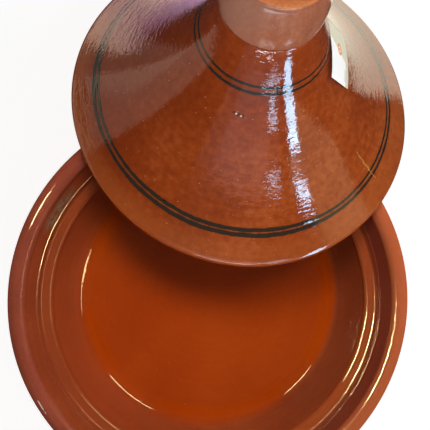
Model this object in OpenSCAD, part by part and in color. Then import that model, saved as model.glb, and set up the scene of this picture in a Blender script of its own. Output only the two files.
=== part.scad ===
// Glazed clay tagine: a wide cooking dish with its conical lid leaning against the rim.
// Frame: origin at the middle of the dish's flat base, +Z up, the lid leans towards +Y.
// All sizes in millimetres. The lid is drawn about its own axis and then tipped over.

/* [Dish] */
// Outside diameter of the dish, over its rolled rim
dish_d = 310; // [290:1:330]
// Height of the dish
dish_h = 55.5; // [52:0.5:60]
// Radius of the rolled outer edge of the rim
rim_round = 8; // [7:0.5:10]
// Width of the rim seen from above
rim_w = 14.5; // [13:0.5:16]
// Depth of the gallery below the top of the rim
gallery_depth = 15; // [12:0.5:18]
// Radius of the gallery's foot, just wider than the lid
gallery_r = 132.2; // [131.5:0.1:134]
// Width of the ledge that the lid sits on
ledge_w = 8; // [7:0.5:9]
// Radius of the cooking floor
floor_r = 106; // [100:1:110]
// Thickness of clay under the floor
floor_t = 12; // [10:0.5:14]
// Radius of the flat, unglazed foot
foot_r = 95; // [90:1:100]

/* [Lid] */
// Outside diameter of the lid at its lip
lid_d = 261; // [259:0.5:262]
// Width of the thick lip
lip_w = 12; // [11:0.5:13]
// Rounding of the lip's lower edges
lip_round = 3; // [2:0.5:3.5]
// Height of the cone, from the lip to the neck
cone_h = 122.5; // [115:0.5:130]
// Radius of the neck under the knob
neck_r = 31.2; // [29:0.1:34]
// Thickness of the cone's wall
cone_wall = 8; // [7:0.5:9]

/* [Knob] */
// Height of the knob above the neck
knob_h = 30.5; // [28:0.5:36]
// Radius of the knob's top edge
knob_top_r = 24.5; // [23:0.5:26]
// Radius of the cup's mouth
cup_r = 20.5; // [19:0.5:21]
// Depth of the cup in the knob
cup_depth = 26; // [20:1:27]

/* [Paper label] */
// Length of the label round the cone
label_l = 38; // [30:1:44]
// Width of the label up the cone
label_w = 34; // [28:1:38]
// Thickness of the label
label_t = 0.4; // [0.3:0.1:0.6]
// Turn of the label round the lid's axis
label_turn = 3; // [-10:1:20]

/* [Resting place] */
// Angle at which the lid leans against the dish
lean = 17.6; // [16.5:0.1:18.5]
// Air left between the lid's lip and the dish's rim
seat_gap = 0.5; // [0.4:0.1:1]

/* [Hidden] */
$fn = 180;

glaze = [0.60, 0.27, 0.14];
lid_glaze = [0.64, 0.30, 0.15];
knob_glaze = [0.58, 0.33, 0.24];
paper = [0.93, 0.92, 0.87];

// Dish: radii and heights of its main edges
dish_r = dish_d / 2;
rim_r = dish_r - rim_round;
rim_z = dish_h - rim_round;
rim_in_r = dish_r - rim_w;
edge_round = 5.5;
gallery_z = dish_h - gallery_depth;
ledge_in_r = gallery_r - ledge_w;
ledge_in_z = gallery_z - 2;
foot_round = 3;

// Lid: the outer curve of the cone, from the top of the lip to the neck
lid_r = lid_d / 2;
lip_h = 7.5;
lip_top_round = 5;
lip_slope = 32;
lip_end = [
    lid_r - lip_top_round + lip_top_round * cos(90 - lip_slope),
    lip_h + lip_top_round * sin(90 - lip_slope)
];
flare = [
    lip_end,
    lip_end + 36.9 * [-cos(lip_slope), sin(lip_slope)],
    [neck_r + 16.5, cone_h - 56.1],
    [neck_r, cone_h]
];
crown_t = 13.5;
crown_z = cone_h - crown_t;

// Knob: heights above the lid's lip
knob_top = cone_h + knob_h;
knob_edge = 2.4;
cup_floor = knob_top - cup_depth;

// Label: its middle lies just off the cone, and it bends less than the cone does
label_bend = 116;
label_r = 53.36;
label_z = 81.25;
label_slope = 54;
label_roll = 15.6;

// Resting place: the back of the lip stands on the table, and the lip's inner edge bears
// on the dish's rim at two points, just outside the crest of the rim.
lid_z = (lid_r - lip_round) * sin(lean) + lip_round * (1 - cos(lean));
seat_r = lid_r - lip_w + lip_round;
bearing_r = rim_r + 1;
bearing_sin = (dish_h + seat_gap - lid_z) / (seat_r * sin(lean));
bearing_x = seat_r * sqrt(1 - pow(bearing_sin, 2));
lid_y = sqrt(pow(bearing_r, 2) - pow(bearing_x, 2)) + seat_r * bearing_sin * cos(lean);

// Points on an arc, from angle a0 to angle a1
function arc(c, r, a0, a1, n = 8) =
    [for (i = [0:n]) let (a = a0 + (a1 - a0) * i / n) c + r * [cos(a), sin(a)]];

// A point on a cubic curve with four control points p, and the curve's direction there
function curve_at(p, t) =
    pow(1 - t, 3) * p[0] + 3 * t * pow(1 - t, 2) * p[1] + 3 * t * t * (1 - t) * p[2] + pow(t, 3) * p[3];
function curve_dir(p, t) =
    pow(1 - t, 2) * (p[1] - p[0]) + 2 * t * (1 - t) * (p[2] - p[1]) + t * t * (p[3] - p[2]);

// Points along a cubic curve from t0 to t1, moved sideways by an offset
function curve(p, t0 = 0, t1 = 1, n = 14, off = 0) =
    [for (i = [0:n]) let (t = t0 + (t1 - t0) * i / n, d = curve_dir(p, t))
        curve_at(p, t) + off * [-d[1], d[0]] / norm(d)];

// Tips the lid's parts over into their resting place
module leaning() {
    translate([0, lid_y, lid_z]) rotate([-lean, 0, 0]) children();
}

// The dish, turned in one piece: foot, flared wall, rolled rim, gallery, ledge and floor
module dish() {
    under_rim = [rim_r + rim_round * cos(-60), rim_z + rim_round * sin(-60)];
    wall_top = [under_rim[0] - 7, under_rim[1] - 6];
    outside = [[0, 0], [foot_r, 0], [foot_r + foot_round, foot_round]];
    wall = curve([[foot_r + foot_round, foot_round], [foot_r + 26, foot_round + 3], [dish_r - 20, 14], wall_top]);
    rim = concat(arc([rim_r, rim_z], rim_round, -60, 90, 14),
        arc([rim_in_r + edge_round, dish_h - edge_round], edge_round, 90, 165, 8));
    gallery = concat([[gallery_r + 1, gallery_z + 2]], [[gallery_r - 1, gallery_z]],
        arc([ledge_in_r + 1.5, ledge_in_z - 1.5], 1.5, 75, 150, 4));
    inside = curve([[ledge_in_r - 0.4, ledge_in_z - 3], [ledge_in_r - 8, ledge_in_z - 15],
        [floor_r + 4, floor_t + 1.5], [floor_r - 6, floor_t]]);
    color(glaze) rotate_extrude() polygon(concat(outside, wall, rim, gallery, inside, [[0, floor_t]]));
}

// The lid's cone: a thick rolled lip, then a flared shell that closes under the knob
module lid_cone() {
    lip = concat(arc([lid_r - lip_w + lip_round, lip_round], lip_round, 180, 270, 5),
        arc([lid_r - lip_round, lip_round], lip_round, -90, 0, 5),
        arc([lid_r - lip_top_round, lip_h], lip_top_round, 0, 90 - lip_slope, 6));
    outer = curve(flare, 0.05, 1, 18);
    inner = curve(flare, 0.87, 0.1, 15, cone_wall);
    crown = curve([[0, crown_z], [14, crown_z], [inner[0][0] - 5, inner[0][1] + 7], inner[0]], 0, 0.95, 8);
    leaning() color(lid_glaze) rotate_extrude() polygon(concat(lip, outer, [[0, cone_h]], crown, inner));
}

// The knob: a swelling grip with a cup in its top, luted to the neck
module lid_knob() {
    side = curve([[neck_r, cone_h], [neck_r + 1, cone_h + 8.5],
        [neck_r + 0.4, knob_top - 9], [knob_top_r + knob_edge, knob_top - knob_edge]]);
    top = concat(arc([knob_top_r, knob_top - knob_edge], knob_edge, 15, 90, 5),
        arc([cup_r + 1, knob_top - 1], 1, 90, 180, 4));
    cup = arc([cup_r - 7, cup_floor + 6], 6, 0, -90, 6);
    leaning() color(knob_glaze) rotate_extrude()
        polygon(concat([[0, cone_h]], side, top, cup, [[0, cup_floor]]));
}

// The paper label: a springy sheet laid over the cone beside the knob
module paper_label() {
    sweep = label_l / label_bend * 180 / PI;
    leaning() rotate([0, 0, label_turn]) translate([label_r, 0, label_z])
        rotate([0, label_slope, 0]) rotate([0, 0, label_roll]) translate([0, 0, -label_bend])
        rotate([0, -90, 0]) rotate([0, 0, -sweep / 2])
        color(paper) rotate_extrude(angle = sweep)
        translate([label_bend, -label_w / 2]) square([label_t, label_w]);
}

dish();
lid_cone();
lid_knob();
paper_label();
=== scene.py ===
import math

import bpy
from mathutils import Matrix, Vector, noise


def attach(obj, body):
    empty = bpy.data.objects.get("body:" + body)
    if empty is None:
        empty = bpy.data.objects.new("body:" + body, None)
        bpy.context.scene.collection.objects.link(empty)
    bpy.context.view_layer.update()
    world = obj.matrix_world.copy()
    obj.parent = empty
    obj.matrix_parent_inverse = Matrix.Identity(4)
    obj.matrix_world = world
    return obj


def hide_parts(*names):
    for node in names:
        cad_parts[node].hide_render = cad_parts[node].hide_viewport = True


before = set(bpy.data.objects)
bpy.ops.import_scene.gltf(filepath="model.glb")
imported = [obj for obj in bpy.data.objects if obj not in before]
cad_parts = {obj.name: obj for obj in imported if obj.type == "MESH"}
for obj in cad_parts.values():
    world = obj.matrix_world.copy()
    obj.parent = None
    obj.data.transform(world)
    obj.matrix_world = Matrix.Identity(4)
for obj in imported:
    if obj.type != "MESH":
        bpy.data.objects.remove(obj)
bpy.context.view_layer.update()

# ---------------------------------------------------------------- sizes, in millimetres
# Each clay piece is turned about its own axis, so its shape is a profile of
# (radius, height) points, with curves worked out from a few control points.
MM = 0.001
SEGMENTS = 320
OWN = "own_place"  # the attribute that holds each point's place in its piece's own frame

DISH_R = 155.0
DISH_H = 55.5
RIM_ROUND = 8.0
RIM_UNDER = -60  # where the wall meets the rolled rim, in degrees round the roll
RIM_W = 14.5
RIM_EDGE = 5.5
RIM_R = DISH_R - RIM_ROUND
RIM_Z = DISH_H - RIM_ROUND
STEEP_TOP = (140.6, 51.2)
STEEP_FOOT = (134.2, 43.9)
LEDGE_IN_R = 124.2
LEDGE_OUT_R = 132.2
LEDGE_OUT_Z = 40.5
LEDGE_Z = 38.5
LEDGE_EDGE = 4.4
FLOOR_R = 106.0
FLOOR_Z = 12.0
FOOT_R = 95.0
FOOT_ROUND = 2.5

LID_R = 130.5
LIP_W = 12.0
LIP_ROUND = 3.0
LIP_TOP = 5.0
LIP_H = 7.5
LIP_SLOPE = 32
CONE_H = 122.5
NECK_R = 31.2
CONE_WALL = 8.0
CROWN_Z = 109.0

KNOB_TOP = 152.94
KNOB_TOP_R = 24.5
KNOB_EDGE = 2.4
CUP_R = 20.5
CUP_EDGE = 1.0
CUP_TAPER = 1.0
CUP_ROUND = 6.0
CUP_FLOOR = 127.0

LABEL_L = 38.0
LABEL_W = 34.0
LABEL_BEND = 116.0
LABEL_AT = (53.36, 0, 81.25)
LABEL_TURN = 3
LABEL_SLOPE = 54
LABEL_ROLL = 15.6
LABEL_SIDES = (0.35, 0.12)  # heights of its two faces above its bend

LEAN = 17.6
SEAT_GAP = 0.5

# Each piece is a little uneven, as if thrown by hand. The slack keeps it inside its designed box.
DISH_SLACK = 0.15
DISH_WANDER = 0.2
LID_SLACK = 0.15
LID_WANDER = 0.25
LID_OVAL = 1.9
KNOB_WANDER = 0.35


def turning(degrees, axis):
    return Matrix.Rotation(math.radians(degrees), 4, axis)


def direction(azimuth, elevation):
    """The unit vector that points away at an azimuth and elevation in degrees."""
    a = math.radians(azimuth)
    e = math.radians(elevation)
    return Vector((math.cos(a) * math.cos(e), math.sin(a) * math.cos(e), math.sin(e)))


def moving(place):
    """A move by a place given in millimetres."""
    return Matrix.Translation([c * MM for c in place])


# Where the lid comes to rest: its back edge on the table, its lip on the dish's rim.
SIN_LEAN = math.sin(math.radians(LEAN))
COS_LEAN = math.cos(math.radians(LEAN))
LID_Z = (LID_R - LIP_ROUND) * SIN_LEAN + LIP_ROUND * (1 - COS_LEAN)
SEAT_R = LID_R - LIP_W + LIP_ROUND
BEARING_R = RIM_R + 1
BEARING_SIN = (DISH_H + SEAT_GAP - LID_Z) / (SEAT_R * SIN_LEAN)
BEARING_X = SEAT_R * math.sqrt(1 - BEARING_SIN ** 2)
LID_Y = math.sqrt(BEARING_R ** 2 - BEARING_X ** 2) + SEAT_R * BEARING_SIN * COS_LEAN
LID_PLACE = moving((0, LID_Y, LID_Z)) @ turning(-LEAN, "X")
LABEL_PLACE = (LID_PLACE @ turning(LABEL_TURN, "Z") @ moving(LABEL_AT)
               @ turning(LABEL_SLOPE, "Y") @ turning(LABEL_ROLL, "Z"))


# ---------------------------------------------------------------- curves and turned meshes
def arc(centre, radius, start, end, steps):
    """Points on an arc, angles in degrees."""
    points = []
    for i in range(steps + 1):
        a = math.radians(start + (end - start) * i / steps)
        points.append((centre[0] + radius * math.cos(a), centre[1] + radius * math.sin(a)))
    return points


def cubic(p0, p1, p2, p3, steps, start=0.0, end=1.0, aside=0.0):
    """Points on a cubic curve from start to end, moved sideways by an offset."""
    points = []
    for i in range(steps + 1):
        t = start + (end - start) * i / steps
        s = 1 - t
        r, z = (s ** 3 * a + 3 * s * s * t * b + 3 * s * t * t * c + t ** 3 * d
                for a, b, c, d in zip(p0, p1, p2, p3))
        dr, dz = (s * s * (b - a) + 2 * s * t * (c - b) + t * t * (d - c)
                  for a, b, c, d in zip(p0, p1, p2, p3))
        long = math.hypot(dr, dz)
        points.append((r - aside * dz / long, z + aside * dr / long))
    return points


def line(p0, p1, steps):
    """Points on a straight line, without its first one."""
    return [(p0[0] + (p1[0] - p0[0]) * i / steps, p0[1] + (p1[1] - p0[1]) * i / steps)
            for i in range(1, steps + 1)]


def tidy_profile(points):
    """The profile without points that lie on top of each other."""
    kept = [points[0]]
    for p in points[1:]:
        if math.dist(p, kept[-1]) > 0.02:
            kept.append(p)
    return kept


def join_rings(low, high):
    """The faces between two rings of points. A ring of one point is the tip of a cone."""
    faces = []
    for j in range(SEGMENTS):
        k = (j + 1) % SEGMENTS
        if len(low) == 1:
            faces.append((high[k], high[j], low[0]))
        elif len(high) == 1:
            faces.append((low[k], high[0], low[j]))
        else:
            faces.append((low[k], high[k], high[j], low[j]))
    return faces


def turned(name, profile, shape, place=Matrix.Identity(4)):
    """A mesh turned from a profile that starts and ends on the axis. shape(radius, height, angle)
    returns the shifted radius and height, all in millimetres."""
    verts = []
    rings = []
    for r, z in tidy_profile(profile):
        if r < 0.01:
            rings.append([len(verts)])
            verts.append((0, 0, z * MM))
            continue
        rings.append(list(range(len(verts), len(verts) + SEGMENTS)))
        for j in range(SEGMENTS):
            a = 2 * math.pi * j / SEGMENTS
            rr, zz = shape(r, z, a)
            verts.append((rr * math.cos(a) * MM, rr * math.sin(a) * MM, zz * MM))
    faces = []
    for low, high in zip(rings, rings[1:]):
        faces += join_rings(low, high)
    return mesh_object(name, verts, faces, place)


def mesh_object(name, verts, faces, place=Matrix.Identity(4)):
    """A mesh put in its place, which keeps each point's place before that in the attribute OWN."""
    mesh = bpy.data.meshes.new(name)
    mesh.from_pydata([place @ Vector(v) for v in verts], [], faces)
    own = mesh.attributes.new(OWN, "FLOAT_VECTOR", "POINT")
    own.data.foreach_set("vector", [c / MM for v in verts for c in v])
    mesh.polygons.foreach_set("use_smooth", [True] * len(mesh.polygons))
    mesh.update()
    obj = bpy.data.objects.new(name, mesh)
    bpy.context.scene.collection.objects.link(obj)
    return obj


def drift(a, row, size, seed):
    """A slow wander round the wheel, so that no ring is a perfect circle."""
    return size * noise.noise(Vector((1.3 * math.cos(a), 1.3 * math.sin(a), row + seed)))


# ---------------------------------------------------------------- pieces
def dish_profile():
    """From the middle of the base out under the wall, over the rim and in across the floor."""
    under = math.radians(RIM_UNDER)
    under_rim = (RIM_R + RIM_ROUND * math.cos(under), RIM_Z + RIM_ROUND * math.sin(under))
    wall_top = (under_rim[0] - 7, under_rim[1] - 6)
    floor_edge = (FLOOR_R - 6, FLOOR_Z)
    profile = [(0, 0)]
    profile += line((0, 0), (FOOT_R, 0), 24)
    profile += arc((FOOT_R + 0.5, FOOT_ROUND), FOOT_ROUND, -90, -20, 5)
    profile += cubic((FOOT_R + 3, 3), (FOOT_R + 26, 6), (DISH_R - 20, 14), wall_top, 44)
    profile += arc((RIM_R, RIM_Z), RIM_ROUND, RIM_UNDER, 90, 30)
    profile += arc((DISH_R - RIM_W + RIM_EDGE, DISH_H - RIM_EDGE), RIM_EDGE, 90, 165, 16)
    profile += line(STEEP_TOP, STEEP_FOOT, 8)
    profile += cubic((STEEP_FOOT[0], STEEP_FOOT[1] + 0.1), (132.9, 42.2), (132.5, 41.0),
                     (LEDGE_OUT_R - 1.2, LEDGE_OUT_Z), 12)
    profile += line(profile[-1], (LEDGE_IN_R + 2.2, LEDGE_Z + 0.8), 44)
    profile += arc((LEDGE_IN_R + 3.3, LEDGE_Z - 3.46), LEDGE_EDGE, 104.6, 148, 14)
    profile += cubic((LEDGE_IN_R - 0.4, LEDGE_Z - 3), (LEDGE_IN_R - 8, LEDGE_Z - 15),
                     (FLOOR_R + 4, FLOOR_Z + 1.5), floor_edge, 40)
    profile += line(floor_edge, (0, FLOOR_Z), 40)
    return profile


def dish_shape(r, z, a):
    """Finger ridges under the rim, rings on the ledge and the inner wall, and a slow wander."""
    if z < 0.01:
        return r, z
    ridge = 0.0
    groove = 0.0
    if r > 108 and z < 37 and r > 98 + z:
        ridge = 0.14 * math.sin(z * 1.15 + a)
    elif LEDGE_IN_R < r < LEDGE_OUT_R and z > 30:
        depth = 0.012 + 0.025 * max(0.0, math.cos(a + 0.3))
        groove = depth * math.sin(r * 2.4 + 0.7 * math.sin(a))
    elif r < LEDGE_IN_R and FLOOR_Z < z < 37:
        groove = 0.03 * math.sin(r * 1.6 + a)
    slack = DISH_SLACK * min(1.0, r / RIM_R) ** 8
    lift = min(1.0, z / 10)
    inside = min(1.0, max(0.0, (LEDGE_OUT_R - r) / 30))
    return (r - slack + ridge + drift(a, 0.3, DISH_WANDER, 1.0) * lift,
            z - slack + groove + drift(a, r * 0.01, DISH_WANDER, 7.0) * lift * inside)


def make_dish():
    return turned("dish_body", dish_profile(), dish_shape)


def lid_profile():
    """From the crown down the inside of the cone, round the lip and up the outside to the neck."""
    slope = math.radians(LIP_SLOPE)
    lip_end = (LID_R - LIP_TOP + LIP_TOP * math.sin(slope), LIP_H + LIP_TOP * math.cos(slope))
    flare = (lip_end, (lip_end[0] - 36.9 * math.cos(slope), lip_end[1] + 36.9 * math.sin(slope)),
             (NECK_R + 16.5, CONE_H - 56.1), (NECK_R, CONE_H))
    inner = cubic(*flare, 60, 0.87, 0.1, CONE_WALL)
    profile = [(0, CROWN_Z)]
    profile += cubic((0, CROWN_Z), (14, CROWN_Z), (inner[0][0] - 5, inner[0][1] + 7), inner[0], 14)
    profile += inner
    profile += arc((LID_R - LIP_W + LIP_ROUND, LIP_ROUND), LIP_ROUND, 180, 270, 8)
    profile += arc((LID_R - LIP_ROUND, LIP_ROUND), LIP_ROUND, -90, 0, 8)
    profile += arc((LID_R - LIP_TOP, LIP_H), LIP_TOP, 0, 90 - LIP_SLOPE, 10)
    profile += cubic(*flare, 130, 0.02)
    profile += line((NECK_R, CONE_H), (0, CONE_H), 4)
    return profile


def lid_shape(r, z, a):
    """Out of round at the lip, fading to nothing at the neck."""
    reach = max(0.0, (r - NECK_R) / (LID_R - NECK_R))
    oval = -LID_OVAL * math.sin(2 * a) * reach ** 1.5
    return r + oval + (drift(a, z * 0.01, LID_WANDER, 3.0) - LID_SLACK) * reach, z


def make_lid():
    return turned("lid_shell", lid_profile(), lid_shape, LID_PLACE)


def knob_profile():
    """From the middle of the neck up the outside, over the top and down into the cup."""
    cup_foot = CUP_R - CUP_TAPER
    profile = [(0, CONE_H)]
    profile += line((0, CONE_H), (NECK_R, CONE_H), 4)
    profile += cubic((NECK_R, CONE_H), (NECK_R + 1, CONE_H + 8.5), (NECK_R + 0.4, KNOB_TOP - 9),
                     (KNOB_TOP_R + KNOB_EDGE, KNOB_TOP - KNOB_EDGE), 40)
    profile += arc((KNOB_TOP_R, KNOB_TOP - KNOB_EDGE), KNOB_EDGE, 15, 90, 8)
    profile += line((KNOB_TOP_R, KNOB_TOP), (CUP_R + CUP_EDGE, KNOB_TOP), 3)
    profile += arc((CUP_R + CUP_EDGE, KNOB_TOP - CUP_EDGE), CUP_EDGE, 90, 180, 5)
    profile += line((CUP_R, KNOB_TOP - CUP_EDGE), (cup_foot, CUP_FLOOR + CUP_ROUND), 12)
    profile += arc((cup_foot - CUP_ROUND, CUP_FLOOR + CUP_ROUND), CUP_ROUND, 0, -90, 8)
    profile += line((cup_foot - CUP_ROUND, CUP_FLOOR), (0, CUP_FLOOR), 6)
    return profile


def knob_shape(r, z, a):
    """A slow wander that fades out at the neck and at the top."""
    swell = math.sin(math.pi * min(1, max(0, (z - CONE_H) / (KNOB_TOP - CONE_H))))
    return r + drift(a, z * 0.02, KNOB_WANDER, 5.0) * swell, z


def make_knob():
    return turned("lid_grip", knob_profile(), knob_shape, LID_PLACE)


def label_points(side, rows, cols):
    """One face of the label. Its own y runs round the cone, x down the cone and z away from it."""
    points = []
    for i in range(rows + 1):
        for j in range(cols + 1):
            u = i / rows - 0.5
            v = j / cols - 0.5
            a = u * LABEL_L / LABEL_BEND
            curl = 0.5 * max(0.0, abs(u) * 2 - 0.7) ** 2 * (0.4 + v)
            radius = LABEL_BEND + side + curl
            points.append((v * LABEL_W * MM, radius * math.sin(a) * MM,
                           (radius * math.cos(a) - LABEL_BEND) * MM))
    return points


def make_label():
    """A bent sheet with a slight curl at its ends."""
    rows, cols = 40, 32
    row = cols + 1
    verts = []
    for side in LABEL_SIDES:
        verts += label_points(side, rows, cols)
    size = (rows + 1) * row
    faces = []
    for i in range(rows):
        for j in range(cols):
            p = i * row + j
            quad = (p, p + 1, p + row + 1, p + row)
            faces.append(quad)
            faces.append(tuple(size + k for k in reversed(quad)))
    border = list(range(cols))
    border += [i * row + cols for i in range(rows)]
    border += [rows * row + j for j in range(cols, 0, -1)]
    border += [i * row for i in range(rows, 0, -1)]
    for p, q in zip(border, border[1:] + border[:1]):
        faces.append((p, size + p, size + q, q))
    return mesh_object("label_sheet", verts, faces, LABEL_PLACE)


# ---------------------------------------------------------------- material building
class Nodes:
    """Short calls for building one material's node tree."""

    def __init__(self, name):
        self.material = bpy.data.materials.new(name)
        self.material.use_nodes = True
        self.tree = self.material.node_tree
        self.tree.nodes.clear()

    def add(self, kind, sockets=None, **settings):
        node = self.tree.nodes.new("ShaderNode" + kind)
        for key, value in settings.items():
            setattr(node, key, value)
        for key, value in (sockets or {}).items():
            self.put(node.inputs[key], value)
        return node

    def put(self, socket, value):
        if isinstance(value, bpy.types.NodeSocket):
            self.tree.links.new(value, socket)
        else:
            socket.default_value = value

    def own_place(self):
        return self.add("Attribute", attribute_name=OWN).outputs["Vector"]

    def math(self, operation, a, b=0.0, c=0.0):
        return self.add("Math", {0: a, 1: b, 2: c}, operation=operation).outputs[0]

    def both(self, *masks):
        """Masks multiplied together: 1 only where all of them are 1."""
        product = masks[0]
        for mask in masks[1:]:
            product = self.math("MULTIPLY", product, mask)
        return product

    def either(self, *masks):
        """The largest of several masks."""
        largest = masks[0]
        for mask in masks[1:]:
            largest = self.math("MAXIMUM", largest, mask)
        return largest

    def outside(self, mask):
        return self.math("SUBTRACT", 1.0, mask)

    def total(self, *parts):
        """A sum of (value, weight) parts."""
        result = 0.0
        for value, weight in reversed(parts):
            result = self.math("MULTIPLY_ADD", value, weight, result)
        return result

    def vector(self, operation, a, b=(0, 0, 0)):
        """The vector that a vector operation gives."""
        return self.add("VectorMath", {0: a, 1: b}, operation=operation).outputs[0]

    def measure(self, operation, a, b=(0, 0, 0)):
        """The number that a vector operation gives."""
        return self.add("VectorMath", {0: a, 1: b}, operation=operation).outputs["Value"]

    def mix(self, factor, a, b):
        return self.add("MixRGB", {0: factor, 1: a, 2: b}).outputs[0]

    def paint(self, colour, mask, amount, tint):
        """The colour with a tint laid over it where the mask is 1."""
        return self.mix(self.math("MULTIPLY", mask, amount), colour, (*tint, 1))

    def step(self, value, low, high, to_low=0.0, to_high=1.0):
        """A smooth step from to_low at low to to_high at high. It falls where low is above high."""
        node = self.add("MapRange", {0: value, 1: low, 2: high, 3: to_low, 4: to_high},
                        interpolation_type="SMOOTHSTEP")
        return node.outputs[0]

    def between(self, value, low, high, soft):
        """1 from low to high, fading to 0 over twice soft at either end."""
        return self.both(self.step(value, low - soft, low + soft),
                         self.step(value, high - soft, high + soft, 1.0, 0.0))

    def noise(self, vector, scale, detail):
        node = self.add("TexNoise", {"Vector": vector, "Scale": scale, "Detail": detail,
                                     "Roughness": 0.55})
        return node.outputs["Fac"]

    def ramp(self, factor, stops):
        node = self.add("ValToRGB", {0: factor})
        elements = node.color_ramp.elements
        while len(elements) < len(stops):
            elements.new(0.5)
        for element, (place, colour) in zip(elements, stops):
            element.position = place
            element.color = (*colour, 1)
        return node.outputs[0]

    def bump(self, relief):
        """The normal of a surface whose relief is given in millimetres."""
        return self.add("Bump", {"Strength": 1.0, "Distance": MM, "Height": relief}).outputs[0]

    def finish(self, shader):
        out = self.add("OutputMaterial")
        self.tree.links.new(shader.outputs[0], out.inputs[0])
        return self.material


class Turned(Nodes):
    """A material with the coordinates of a turned piece: its radius and height in millimetres,
    and its direction round the axis."""

    def __init__(self, name):
        super().__init__(name)
        self.place = self.own_place()
        x, y, self.height = self.add("SeparateXYZ", {0: self.place}).outputs
        flat = self.add("CombineXYZ", {0: x, 1: y}).outputs[0]
        self.radius = self.measure("LENGTH", flat)
        self.round = self.vector("NORMALIZE", flat)

    def near(self, centre, size, wobble, wobble_scale):
        """1 within size of a point, fading to 0, with an edge that noise breaks up."""
        gap = self.measure("DISTANCE", self.place, centre)
        rough = self.math("SUBTRACT", self.noise(self.place, wobble_scale, 4.0), 0.5)
        return self.step(self.math("MULTIPLY_ADD", rough, wobble, gap), size * 0.6, size, 1.0, 0.0)

    def sector(self, angle, half_width, soft=4.0):
        """1 within half_width of an angle round the axis, all in degrees."""
        along = self.measure("DOT_PRODUCT", self.round, tuple(direction(angle, 0)))
        low, high = (math.cos(math.radians(half_width + side * soft)) for side in (1, -1))
        return self.step(along, low, high)

    def rings(self, along, fine, turn=0.6, detail=3.0):
        """Noise drawn out round the wheel, as a potter's rib leaves it."""
        turned_by = self.vector("MULTIPLY", self.round, (turn, turn, turn))
        up = self.add("CombineXYZ", {2: self.math("MULTIPLY", along, fine)}).outputs[0]
        return self.noise(self.vector("ADD", turned_by, up), 1.0, detail)

    def stripe(self, at, width, seed):
        """A painted line at a given height, with a brush's uneven edges and pressure."""
        sway = self.noise(self.vector("ADD", self.round, (seed, seed, 0)), 1.6, 4.0)
        centre = self.math("MULTIPLY_ADD", sway, 0.9, at - 0.45)
        off = self.math("ABSOLUTE", self.math("SUBTRACT", self.height, centre))
        press = self.math("MULTIPLY_ADD", self.noise(self.place, 0.25, 3.0), 0.5, 0.25)
        half = self.math("MULTIPLY", press, width)
        return self.step(self.math("SUBTRACT", half, off), -0.28, 0.22)

    def specks(self, scale, size, keep):
        """Small spots scattered in three dimensions: 1 in a spot. keep is the share kept."""
        cells = self.add("TexVoronoi", {"Vector": self.place, "Scale": scale}, feature="F1")
        spot = self.step(cells.outputs["Distance"], size * 0.5, size, 1.0, 0.0)
        chance = self.add("SeparateColor", {0: cells.outputs["Color"]}).outputs[0]
        return self.both(spot, self.math("LESS_THAN", chance, keep))

    def clay(self, scale, stops):
        """Bare fired clay, mottled."""
        return self.ramp(self.noise(self.place, scale, 6.0), stops)

    def glazed(self, colour, rough, relief, shine=0.5):
        """The finished material. shine is the strength of its mirror, 0.5 being that of clean glaze."""
        return self.finish(self.add("BsdfPrincipled", {
            "Base Color": colour, "Roughness": rough, "IOR": GLAZE_IOR,
            "Specular IOR Level": shine, "Normal": self.bump(relief)}))


# ---------------------------------------------------------------- materials
# Ramps go from the darkest tone of a glaze to its lightest, as (tone, colour) stops.
GLAZE_IOR = 1.62
DISH_WALL = ((0.3, (0.175, 0.030, 0.010)), (0.5, (0.24, 0.042, 0.012)), (0.7, (0.31, 0.066, 0.021)))
DISH_FLOOR = ((0.3, (0.29, 0.032, 0.0018)), (0.5, (0.35, 0.043, 0.0022)), (0.7, (0.41, 0.058, 0.004)))
DISH_RIM = ((0.3, (0.20, 0.040, 0.024)), (0.7, (0.33, 0.079, 0.048)))
DISH_CLAY = ((0.3, (0.36, 0.15, 0.075)), (0.7, (0.50, 0.24, 0.13)))
LID_RED = ((0.32, (0.17, 0.024, 0.004)), (0.5, (0.27, 0.046, 0.007)), (0.68, (0.40, 0.090, 0.019)))
LID_CLAY = ((0.3, (0.40, 0.17, 0.08)), (0.7, (0.55, 0.27, 0.14)))
KNOB_PINK = ((0.3, (0.24, 0.075, 0.038)), (0.5, (0.34, 0.120, 0.066)), (0.7, (0.44, 0.19, 0.115)))
KNOB_CLAY = ((0.3, (0.62, 0.17, 0.04)), (0.7, (0.80, 0.27, 0.08)))
PAPER = ((0.3, (0.90, 0.94, 0.98)), (0.7, (0.97, 0.98, 1.0)))

# Marks on the lid, and painted highlights on the blisters: points in its own frame, and the scratch's
# angle in degrees and its heights.
BRUSH_LOOP = (14.3, -40.6, 95.6)
LIP_PIT = (22.5, -97, 30)
BLISTERS = ((-10.6, -50.4, 79.8), (-7.4, -51.3, 79.2), (-4.6, -51.6, 79.4))
PAINTED_GLINTS = ((-9.3, -50.9, 79.6), (-6.0, -51.7, 79.0))
SCRATCH_ANGLE = -27.2
SCRATCH_FOOT = 19.8
SCRATCH_TOP = 36.3


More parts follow.
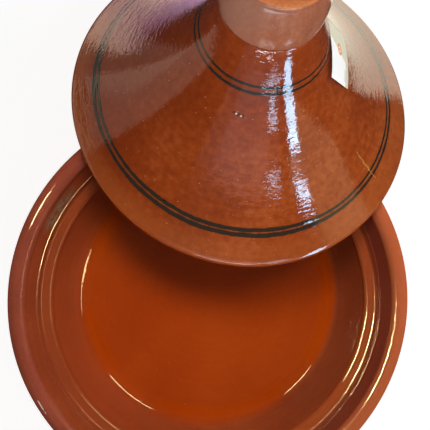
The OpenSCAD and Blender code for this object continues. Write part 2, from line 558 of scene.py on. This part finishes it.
def dish_glaze_colour(m, fine):
    """Deep orange where the glaze pooled on the floor, darker on the walls, with painted light on the
    right of the rim and ledge and on the left of the inner wall, and painted shade on the right walls.
    """
    tone = m.total((m.rings(m.radius, 0.5, 1.5), 0.15), (fine, 0.15),
                   (m.noise(m.place, 0.012, 4.0), 0.7))
    pooled = m.mix(m.sector(8, 42, 25), m.step(m.radius, 113, 101), m.step(m.radius, 108, 104.5))
    pooled = m.both(pooled, m.step(m.height, FLOOR_Z - 4, FLOOR_Z - 2))
    colour = m.mix(pooled, m.ramp(tone, DISH_WALL), m.ramp(tone, DISH_FLOOR))
    on_rim = m.step(m.height, DISH_H - 5.5, DISH_H - 1)
    colour = m.mix(m.both(on_rim, 0.8), colour, m.ramp(tone, DISH_RIM))
    ledge = m.both(m.between(m.radius, LEDGE_IN_R - 0.7, LEDGE_OUT_R - 0.7, 0.8),
                   m.step(m.height, 34, 37))
    gallery_painted_shade = m.both(m.between(m.radius, STEEP_FOOT[0] - 0.7, STEEP_TOP[0] + 0.2, 0.6),
                   m.sector(0, 75, 30))
    right_rim_painted_light = m.both(m.step(m.radius, STEEP_TOP[0] - 0.2, STEEP_TOP[0] + 0.8),
                  m.sector(-15, 65, 35), m.step(m.height, 30, 44))
    low_wall = m.between(m.radius, FLOOR_R + 2, LEDGE_IN_R - 0.2, 2.0)
    for mask, amount, tint in (
            # Painted light: the rim's top lighter on the right side.
            (m.both(on_rim, m.sector(-5, 50, 30)), 0.35, (0.48, 0.17, 0.075)),
            # The ledge a lighter orange all round as glaze colour, and more so on the right side as
            # painted light.
            (ledge, m.math("MULTIPLY_ADD", m.sector(-20, 70, 40), 0.45, 0.2), (0.36, 0.072, 0.018)),
            # Painted shade: the gallery wall under the rim darker on the right side.
            (gallery_painted_shade, 0.62, (0.13, 0.020, 0.012)),
            # Painted light: the inner top of the rim lighter again on the right side.
            (right_rim_painted_light, 0.8, (0.43, 0.100, 0.034)),
            # Painted light: the inner wall lighter on the left side.
            (m.both(low_wall, m.sector(190, 60, 40)), 0.35, (0.36, 0.054, 0.012)),
            # Painted shade: the inner wall darker on the right side.
            (m.both(low_wall, m.sector(5, 50, 30)), 0.4, (0.15, 0.026, 0.010))):
        colour = m.paint(colour, mask, amount, tint)
    return colour


def dish_relief(m, dots, foot):
    """Throwing rings, a finely pitted wall, specks and the grain of the bare foot."""
    thrown = m.rings(m.math("SUBTRACT", m.radius, m.height), 0.36, 8.0, 2.0)
    pitted = m.math("MULTIPLY_ADD", m.step(m.radius, 116, 122), 0.075, 0.012)
    return m.total((m.both(m.noise(m.place, 3.0, 3.0), foot), 0.15), (dots, -0.02),
                   (m.noise(m.place, 0.85, 1.0), pitted), (m.noise(m.place, 0.2, 2.0), 0.05),
                   (thrown, 0.05))


def dish_shine(m):
    """Clean glaze mirrors fully. A dull film leaves only three streaks of it round the floor,
    one place on the rim and a scatter of dots on the ledge and the walls."""
    streaks = m.either(m.sector(182, 13, 3), m.sector(239, 12, 3), m.sector(324, 8.5, 3))
    crest = m.both(m.sector(158, 5, 3), m.step(m.radius, RIM_R + 2, RIM_R + 1))
    gaps = m.math("MULTIPLY_ADD", m.step(m.radius, 138, 140), 0.05, 0.43)
    film = m.step(m.math("SUBTRACT", m.noise(m.place, 0.75, 1.0), gaps), 0.03, -0.02)
    dull = m.either(m.both(m.outside(streaks), m.between(m.radius, 94, 118, 2.0)),
                    m.both(m.outside(crest), m.step(m.radius, RIM_R - 0.7, RIM_R + 0.3)),
                    m.both(film, m.step(m.radius, 118, 121), 0.8),
                    m.both(m.between(m.radius, 121, 128.5, 0.8), m.sector(-48, 26, 4)),
                    m.both(m.between(m.radius, 108, 121.5, 1.5), m.sector(-2, 32, 8), 0.85))
    return m.math("MULTIPLY_ADD", dull, -0.5, 0.5)


def dish_material():
    """Glaze with specks, a worn patch under the rim, a chip on the rim and a bare foot."""
    m = Turned("dish_glaze_surface")
    fine = m.noise(m.place, 0.3, 5.0)
    dots = m.specks(0.11, 0.06, 0.35)
    foot = m.step(m.height, 0.8, 2.5, 1.0, 0.0)
    worn = m.both(m.sector(157, 7, 3), m.between(m.radius, 134.5, 139.5, 2.0),
                  m.step(m.rings(m.radius, 0.5, 14.0, 4.0), 0.38, 0.55))
    chip = m.both(m.sector(219.5, 2.0, 0.6), m.between(m.radius, 148.9, 149.7, 0.35),
                  m.step(fine, 0.42, 0.50))
    colour = dish_glaze_colour(m, fine)
    colour = m.paint(colour, dots, 0.5, (0.50, 0.22, 0.10))
    colour = m.paint(colour, worn, 0.85, (0.16, 0.115, 0.070))
    colour = m.paint(colour, chip, 0.9, (0.75, 0.74, 0.74))
    colour = m.mix(foot, colour, m.clay(0.5, DISH_CLAY))
    rough = m.math("MULTIPLY_ADD", m.noise(m.place, 0.06, 3.0), 0.04, 0.01)
    rough = m.either(m.math("MULTIPLY_ADD", worn, 0.3, rough), m.both(foot, 0.85))
    return m.glazed(colour, rough, dish_relief(m, dots, foot), dish_shine(m))


def lid_bands(m):
    """Two pairs of painted lines round the cone, and the small loop where the brush came off."""
    pressed = m.either(m.sector(182, 18, 14), m.sector(-95, 34, 20))
    lines = [m.stripe(at, m.math("MULTIPLY_ADD", pressed, more, width), seed)
             for at, width, more, seed in ((22.1, 1.3, 0.6, 0.0), (24.3, 1.15, 0.55, 4.0),
                                           (94.0, 1.35, 0.5, 8.0), (97.9, 1.2, 0.4, 12.0))]
    loop_gap = m.math("SUBTRACT", m.measure("DISTANCE", m.place, BRUSH_LOOP), 2.3)
    loop = m.step(m.math("ABSOLUTE", loop_gap), 0.25, 0.8, 1.0, 0.0)
    return m.either(*lines, loop)


def lid_scratch(m):
    """A crooked scratch up the cone."""
    across = m.measure("DOT_PRODUCT", m.place, tuple(direction(SCRATCH_ANGLE + 90, 0)))
    sway = m.math("SUBTRACT", m.noise(m.place, 0.25, 4.0), 0.5)
    across = m.math("ABSOLUTE", m.math("MULTIPLY_ADD", sway, 5.0, across))
    return m.both(m.step(across, 0.65, 0.25), m.between(m.height, SCRATCH_FOOT, SCRATCH_TOP, 0.4),
                  m.sector(-27, 6), m.step(m.noise(m.place, 0.9, 2.0), 0.38, 0.5))


def lid_relief(m, pits, dots, bands):
    """Throwing rings, the glaze's slow waves, and marks that stand out of it."""
    return m.total((pits, 0.35), (dots, 0.06), (bands, 0.02),
                   (m.noise(m.place, 0.9, 1.0), 0.02), (m.noise(m.place, 0.42, 1.0), 0.07),
                   (m.noise(m.place, 0.2, 1.0), 0.04), (m.rings(m.height, 0.6, 9.0, 1.0), 0.08),
                   (m.rings(m.height, 0.30, 5.0, 2.0), 0.06))


def lid_material():
    """Red-brown glaze with painted bands, specks, blisters and a scratch, painted shade on its left
    side and painted highlights on the blisters, bare under the lip.
    """
    m = Turned("lid_glaze_surface")
    tone = m.total((m.rings(m.height, 0.9), 0.12), (m.noise(m.place, 0.014, 4.0), 0.5),
                   (m.noise(m.place, 0.22, 5.0), 0.38))
    near_lip = m.both(m.step(m.radius, 112, 124), m.step(m.height, 2, 5))
    dots = m.either(m.specks(0.16, 0.08, 0.45), m.specks(0.23, 0.10, 0.3))
    bands = lid_bands(m)
    pits = m.either(m.near(LIP_PIT, 1.2, 1.5, 0.8), *(m.near(p, 1.35, 2.0, 0.9) for p in BLISTERS))
    bare = m.step(m.height, 1.2, 0.3)
    colour = m.ramp(tone, LID_RED)
    # Painted shade: the left side of the cone darker.
    colour = m.paint(colour, m.sector(175, 42, 30), 0.52, (0.150, 0.014, 0.0015))
    colour = m.paint(colour, near_lip, 0.35, (0.42, 0.11, 0.026))
    colour = m.paint(colour, dots, 0.6, (0.66, 0.34, 0.20))
    colour = m.paint(colour, bands, 0.93, (0.012, 0.020, 0.014))
    colour = m.paint(colour, lid_scratch(m), 0.75, (0.62, 0.34, 0.06))
    colour = m.paint(colour, pits, 0.75, (0.06, 0.02, 0.012))
    # Painted highlights: small pale glints on the blisters.
    for glint in PAINTED_GLINTS:
        colour = m.paint(colour, m.near(glint, 0.75, 0.6, 2.0), 1.0, (0.85, 0.78, 0.78))
    colour = m.mix(bare, colour, m.clay(0.5, LID_CLAY))
    rough = m.either(m.math("MULTIPLY_ADD", m.noise(m.place, 0.05, 3.0), 0.08, 0.03),
                     m.both(bare, 0.8))
    return m.glazed(colour, rough, lid_relief(m, pits, dots, bands))


def knob_material():
    """Thin pink glaze, worn off the top edge, with a painted reflection down its left side and an
    unglazed cup painted dark inside as painted shade.
    """
    m = Turned("knob_glaze_surface")
    tone = m.total((m.rings(m.height, 0.04, 5.0), 0.35), (m.noise(m.place, 0.35, 5.0), 0.3),
                   (m.noise(m.place, 0.03, 4.0), 0.35))
    dots = m.either(m.specks(0.2, 0.09, 0.35), m.specks(0.5, 0.16, 0.4))
    top = m.math("MULTIPLY_ADD", m.noise(m.place, 0.35, 3.0), 0.8, m.height)
    bare = m.step(top, KNOB_TOP - 0.5, KNOB_TOP + 0.1)
    cup = m.both(m.step(m.radius, CUP_R + 0.6, CUP_R - 0.2),
                 m.step(m.height, CUP_FLOOR - 3, CUP_FLOOR - 1))
    colour = m.ramp(tone, KNOB_PINK)
    # Painted reflection: a pale grey-pink sheen down the knob's left side.
    colour = m.paint(colour, m.sector(205, 45, 25), 0.5, (0.38, 0.20, 0.15))
    colour = m.paint(colour, dots, 0.5, (0.66, 0.40, 0.32))
    colour = m.mix(bare, colour, m.clay(0.6, KNOB_CLAY))
    # Painted shade: the inside of the cup dark below its mouth.
    colour = m.paint(colour, cup, m.step(m.height, KNOB_TOP - 1, KNOB_TOP - 4), (0.20, 0.06, 0.02))
    relief = m.total((m.both(m.noise(m.place, 3.0, 3.0), bare), 0.12),
                     (m.noise(m.place, 0.5, 3.0), 0.10), (m.rings(m.height, 0.16, 5.0, 3.0), 0.12))
    rough = m.either(m.math("MULTIPLY_ADD", m.noise(m.place, 0.1, 3.0), 0.15, 0.10),
                     m.both(m.either(bare, cup), 0.75))
    return m.glazed(colour, rough, relief)


def label_material():
    """White coated paper with a plain round mark and two grey rules, no lettering."""
    m = Nodes("label_paper_surface")
    place = m.own_place()
    down, along, _ = m.add("SeparateXYZ", {0: place}).outputs
    fibre = m.noise(place, 2.0, 5.0)
    # Painted shade: a beige-grey tint over part of the label.
    painted_shade = m.either(m.step(m.math("MULTIPLY_ADD", down, 0.4, along), 0.5, 2.5),
                      m.step(down, 10, 12))
    colour = m.paint(m.ramp(fibre, PAPER), painted_shade, 0.85, (0.62, 0.59, 0.43))
    gap = m.measure("DISTANCE", place, (0.0, 3.5, 0.2))
    for outer, inner, tint in ((4.2, 3.8, (0.80, 0.25, 0.06)), (2.3, 2.0, (0.85, 0.75, 0.55)),
                               (1.1, 0.9, (0.60, 0.03, 0.05))):
        colour = m.paint(colour, m.step(gap, outer, inner), 1.0, tint)
    for at in (8.5, 10.5):
        off_line = m.math("ABSOLUTE", m.math("SUBTRACT", down, at))
        off_middle = m.math("ABSOLUTE", m.math("ADD", along, 12.0))
        rule = m.both(m.step(off_line, 0.45, 0.3), m.step(off_middle, 4.2, 4.0))
        colour = m.paint(colour, rule, 0.6, (0.25, 0.25, 0.25))
    return m.finish(m.add("BsdfPrincipled", {
        "Base Color": colour, "Roughness": 0.5, "Normal": m.bump(m.math("MULTIPLY", fibre, 0.02))}))


# ---------------------------------------------------------------- stage: floor and backdrop
STAGE_Z = -0.0004  # a hair under the table's height, in metres
FLOOR_SIDE = 5.5
BACKDROP_R = 5.5
BACKDROP_TOP = 5.0
BACKDROP_SIDES = 72


def make_floor():
    """A wide sheet that glows white, which the glaze doesn't mirror."""
    corners = [(x * FLOOR_SIDE, y * FLOOR_SIDE, STAGE_Z)
               for x, y in ((-1, -1), (1, -1), (1, 1), (-1, 1))]
    floor = mesh_object("floor", corners, [(0, 1, 2, 3)])
    m = Nodes("floor_paper")
    shader = m.add("BsdfPrincipled", {"Base Color": (0.5, 0.5, 0.5, 1), "Roughness": 0.9,
                                      "Emission Color": (1, 1, 1, 1), "Emission Strength": 0.88})
    floor.data.materials.append(m.finish(shader))
    floor.visible_glossy = False


def make_backdrop():
    """A pale round wall far behind the pot, seen only by the camera."""
    verts = []
    for z in (STAGE_Z, BACKDROP_TOP):
        for i in range(BACKDROP_SIDES):
            a = 2 * math.pi * i / BACKDROP_SIDES
            verts.append((BACKDROP_R * math.cos(a), BACKDROP_R * math.sin(a), z))
    faces = []
    for i in range(BACKDROP_SIDES):
        k = (i + 1) % BACKDROP_SIDES
        faces.append((i, k, BACKDROP_SIDES + k, BACKDROP_SIDES + i))
    wall = mesh_object("backdrop", verts, faces)
    m = Nodes("backdrop_paper")
    shader = m.add("Emission", {"Color": (0.93, 0.93, 0.93, 1), "Strength": 1.0})
    wall.data.materials.append(m.finish(shader))
    wall.visible_diffuse = False
    wall.visible_glossy = False
    wall.visible_shadow = False


# ---------------------------------------------------------------- lights
# Panels stand round AIM, in metres: those that light the pot at NEAR, those it mirrors at FAR.
# A panel is given by azimuth, elevation, width and height in degrees, then its radiance. A floor
# light is given by its place and size in metres.
AIM = Vector((0, 0.12, 0.08))
NEAR = 1.3
FAR = 4.0
DAY = (0.42, 0.73, 1.0)
GOLD = (1.0, 0.80, 0.36)
WARM = (1.0, 0.95, 0.88)
WORLD_COLOUR = (0.9, 0.95, 1.0, 1)
WORLD_STRENGTH = 0.035
PANE_TWIST = -20
WINDOW_PANES = (
    (-42, -50, 8, 16, 10), (-44, -1.5, 10, 14, 16), (-38.5, 11, 10, 10, 18),
    (-35.3, 19.5, 9, 6, 22), (-34.8, 26.5, 3, 1.2, 9), (-29.8, 32.3, 7, 3, 22),
    (-66, 8.4, 26, 2.0, 10), (-60.4, 15.6, 6, 4, 13), (-57, 21.6, 9, 2.6, 14),
    (-66, 4, 9, 1.8, 6), (-52, 38, 9, 1.2, 14), (-82, -46, 14, 5, 8))


def area_light(name, wide, high, radiance, colour):
    light = bpy.data.lights.new(name, "AREA")
    light.shape = "RECTANGLE"
    light.size = wide
    light.size_y = high
    light.energy = radiance * math.pi * wide * high
    light.color = colour
    obj = bpy.data.objects.new(name, light)
    bpy.context.scene.collection.objects.link(obj)
    obj.visible_camera = False
    return obj


def panel(name, azimuth, elevation, wide, high, radiance, colour, distance, twist=0.0):
    """A rectangular light that faces the pot. wide and high are the angles it covers, in degrees."""
    sizes = [2 * distance * math.tan(math.radians(a / 2)) for a in (wide, high)]
    obj = area_light(name, *sizes, radiance, colour)
    away = direction(azimuth, elevation)
    facing = away.to_track_quat("Z", "Y").to_matrix().to_4x4()
    obj.matrix_world = Matrix.Translation(AIM + away * distance) @ facing @ turning(twist, "Z")
    return obj


def soft_light(name, azimuth, elevation, wide, high, radiance, colour, only=None):
    """A softbox that lights the pot, or only some pieces, but leaves no mark in its glaze."""
    obj = panel(name, azimuth, elevation, wide, high, radiance, colour, NEAR)
    obj.visible_glossy = False
    if only:
        obj.light_linking.receiver_collection = only


def seen_light(name, azimuth, elevation, wide, high, radiance, colour, only, twist=0.0):
    """A bright shape that the glaze of some pieces mirrors and that lights nothing."""
    obj = panel(name, azimuth, elevation, wide, high, radiance, colour, FAR, twist)
    obj.visible_diffuse = False
    obj.light_linking.receiver_collection = only


def floor_light(name, x, y, wide, deep, radiance, colour, turn=0.0):
    """A bright patch of floor, seen only in the glaze. x and y are the middle of its near edge."""
    obj = area_light(name, wide, deep, radiance, colour)
    middle = Matrix.Translation((0, deep / 2, 0))
    obj.matrix_world = (Matrix.Translation((x, y, -0.004)) @ turning(turn, "Z") @ middle
                        @ turning(180, "X"))
    obj.visible_diffuse = False


def make_world():
    """A faint sky, so that no shadow is black."""
    world = bpy.data.worlds.new("studio")
    world.use_nodes = True
    background = world.node_tree.nodes["Background"]
    background.inputs[0].default_value = WORLD_COLOUR
    background.inputs[1].default_value = WORLD_STRENGTH
    bpy.context.scene.world = world


def make_lamps(on_dish, on_lid, on_label):
    """Soft light from all round, with some lamps that light only some pieces."""
    soft_light("lamp_dish_left", 104, 59, 18, 18, 18.5, WARM, on_dish)
    soft_light("lamp_dish_right", 54, 61, 18, 18, 12.5, WARM, on_dish)
    soft_light("lamp_right", 5, 24, 40, 22, 3.5, WARM)
    soft_light("ceiling", 0, 89, 100, 100, 0.17, WARM)
    soft_light("window", -90, 14, 60, 20, 0.8, WARM)
    soft_light("lamp_lid", -92, 45, 45, 30, 5.2, WARM, on_lid)
    soft_light("lamp_lid_back", 70, 55, 40, 25, 2.6, WARM, on_lid)
    soft_light("lamp_label", -20, 45, 30, 30, 2.2, (0.88, 0.95, 1.0), on_label)


def make_room(on_lid, on_cone, on_knob):
    """What the glaze mirrors: a window in panes, the room round it and patches of floor."""
    for i, pane in enumerate(WINDOW_PANES):
        seen_light("pane_%d" % i, *pane, DAY, on_cone, PANE_TWIST)
    seen_light("window_low", -86, -7, 28, 7, 12, (0.95, 0.98, 1.0), on_cone)
    seen_light("room_front", -84, 26, 42, 40, 0.28, (0.7, 0.85, 1.0), on_lid)
    seen_light("room_front_wide", -86, 14, 70, 66, 0.22, (0.75, 0.85, 1.0), on_lid)
    seen_light("knob_edge", -70, 36, 70, 8, 7, (0.85, 0.86, 1.0), on_knob)
    seen_light("wall_left", 178.2, -0.8, 35, 40, 0.6, (1.0, 0.80, 0.62), on_lid, 42)
    seen_light("room_right", -20, 20, 34, 30, 0.7, (1.0, 0.84, 0.48), on_cone)
    seen_light("wall_far", 148, -6, 44, 26, 0.28, (1.0, 0.88, 0.70), on_cone)
    floor_light("floor_cream", 0.13, 0.262, 0.32, 0.8, 1.62, (1.0, 0.96, 0.76))
    floor_light("floor_cream_left", -0.30, 0.361, 0.60, 0.8, 2.0, (1.0, 0.72, 0.55), -16.7)
    floor_light("floor_lilac", -0.27, 0.333, 0.40, 0.02, 0.8, (0.95, 0.60, 0.95), -16.7)


def make_gold(on_dish):
    """Narrow warm lights, mirrored as glints in the dish."""
    seen_light("gold_left", -15, 44, 26, 2.4, 17, GOLD, on_dish)
    seen_light("gold_front", 45, 52, 18, 2.4, 40, GOLD, on_dish)
    seen_light("gold_right", 186, 58, 16, 3.0, 420, GOLD, on_dish)
    seen_light("gold_far_right", 155, 55, 13, 3.0, 40, GOLD, on_dish)
    seen_light("gold_near_right", 206, 56, 10, 3, 18, GOLD, on_dish)


def group(name, *pieces):
    """A collection that only tells a light which pieces it shows in."""
    collection = bpy.data.collections.new(name)
    for piece in pieces:
        collection.objects.link(piece)
    return collection


# ---------------------------------------------------------------- camera
CAMERA_PLACE = (-0.0348, 0.0706, 0.4722)
CAMERA_TURN = (-1.025, -3.544, 8.632)
CAMERA_SENSOR = 36.0
CAMERA_LENS = 46.05


def make_camera():
    data = bpy.data.cameras.new("camera")
    data.sensor_width = CAMERA_SENSOR
    data.lens = CAMERA_LENS
    data.clip_start = 0.01
    camera = bpy.data.objects.new("camera", data)
    bpy.context.scene.collection.objects.link(camera)
    camera.location = CAMERA_PLACE
    camera.rotation_euler = [math.radians(a) for a in CAMERA_TURN]
    bpy.context.scene.camera = camera


# ---------------------------------------------------------------- the scene
def finish_piece(piece, body, node, material):
    """Gives a piece its material, ties it to its body and hides the CAD node that it dresses."""
    piece.data.materials.clear()
    piece.data.materials.append(material)
    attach(piece, body)
    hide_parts(node)


bpy.context.scene.view_settings.view_transform = "Standard"
make_camera()
make_floor()
make_backdrop()
dish, lid, knob, label = make_dish(), make_lid(), make_knob(), make_label()
dish_lights = group("dish_lights", dish)
lid_lights = group("lid_lights", lid, knob, label)
cone_lights = group("cone_lights", lid)
knob_lights = group("knob_lights", knob)
label_lights = group("label_lights", label)
make_world()
make_lamps(dish_lights, lid_lights, label_lights)
make_room(lid_lights, cone_lights, knob_lights)
make_gold(dish_lights)
finish_piece(dish, "dish", "dish", dish_material())
finish_piece(lid, "lid", "lid_cone", lid_material())
finish_piece(knob, "lid", "lid_knob", knob_material())
finish_piece(label, "lid", "paper_label", label_material())
